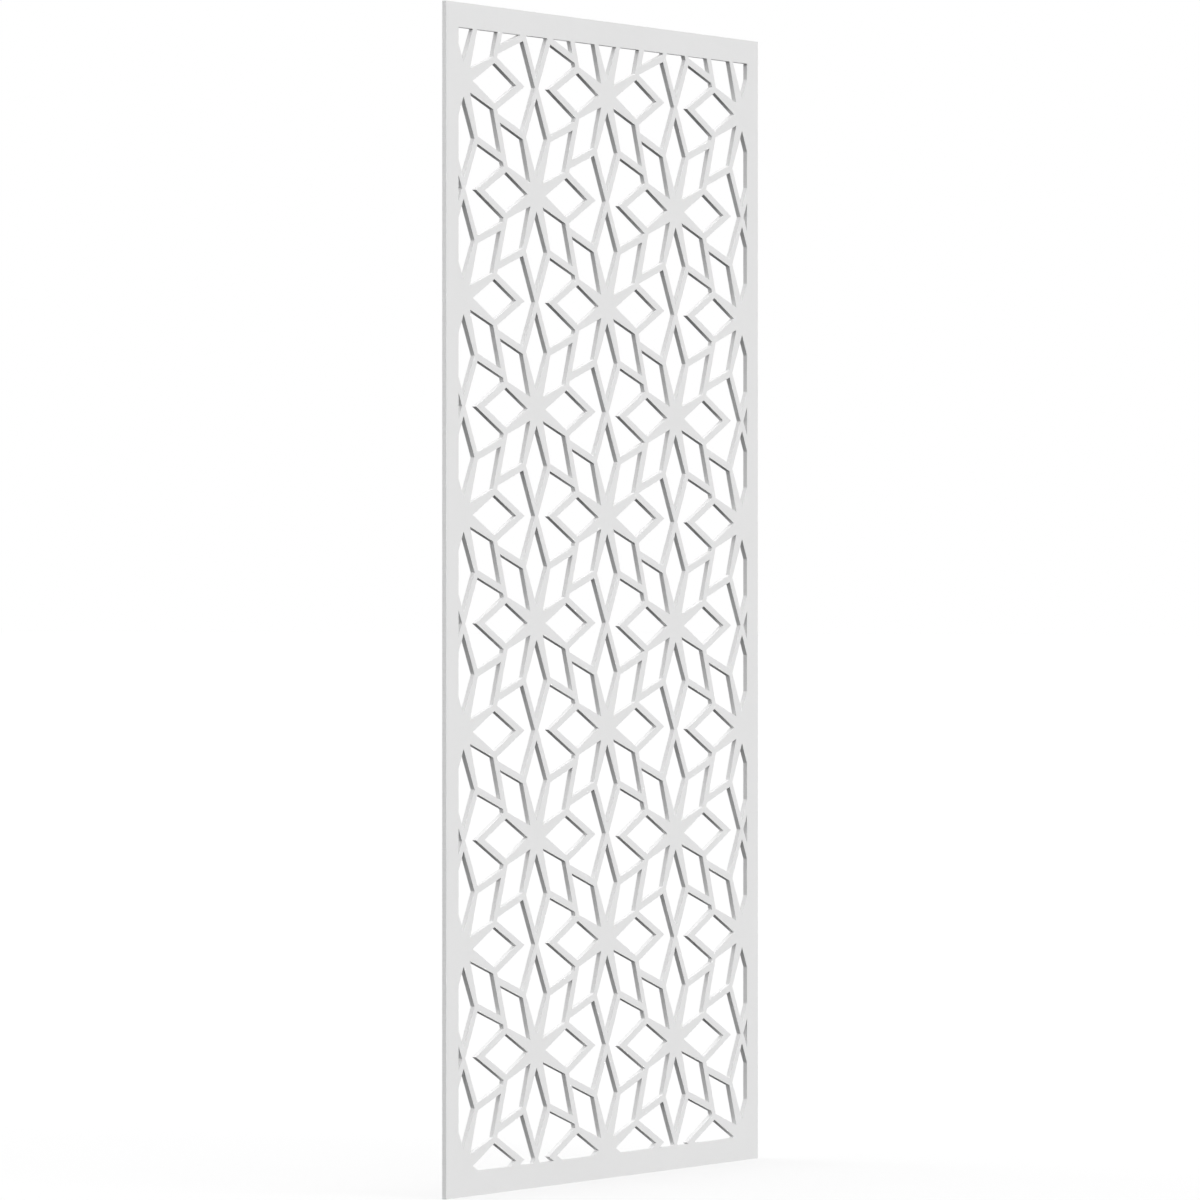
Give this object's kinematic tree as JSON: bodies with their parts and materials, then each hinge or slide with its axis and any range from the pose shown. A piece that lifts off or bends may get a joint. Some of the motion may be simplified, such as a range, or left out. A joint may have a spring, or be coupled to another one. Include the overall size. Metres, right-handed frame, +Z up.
{
  "type": "fretwork screen panel",
  "caption": "Tall flat white screen panel: a narrow border round a window filled with fretwork of staggered petalled stars, for dividing a room or facing a wall.",
  "frame": {"origin": "middle of the panel's bottom edge, at half its thickness", "axes": "+X along the width, to the right as seen from the front; +Y through the thickness, from the front face to the back face; +Z up the height"},
  "size_m": [1.24, 0.0094, 2.4],
  "materials": {
    "border": "matt white",
    "fretwork": "matt white",
    "tenon": "sawn, unpainted"
  },
  "bodies": {
    "root": {"left_stile": "border", "right_stile": "border", "bottom_rail": "border", "top_rail": "border", "corner_tenon_bottom_left": "tenon", "corner_tenon_bottom_right": "tenon", "corner_tenon_top_left": "tenon", "corner_tenon_top_right": "tenon", "fretwork_sheet": "fretwork"}
  },
  "joints": []
}
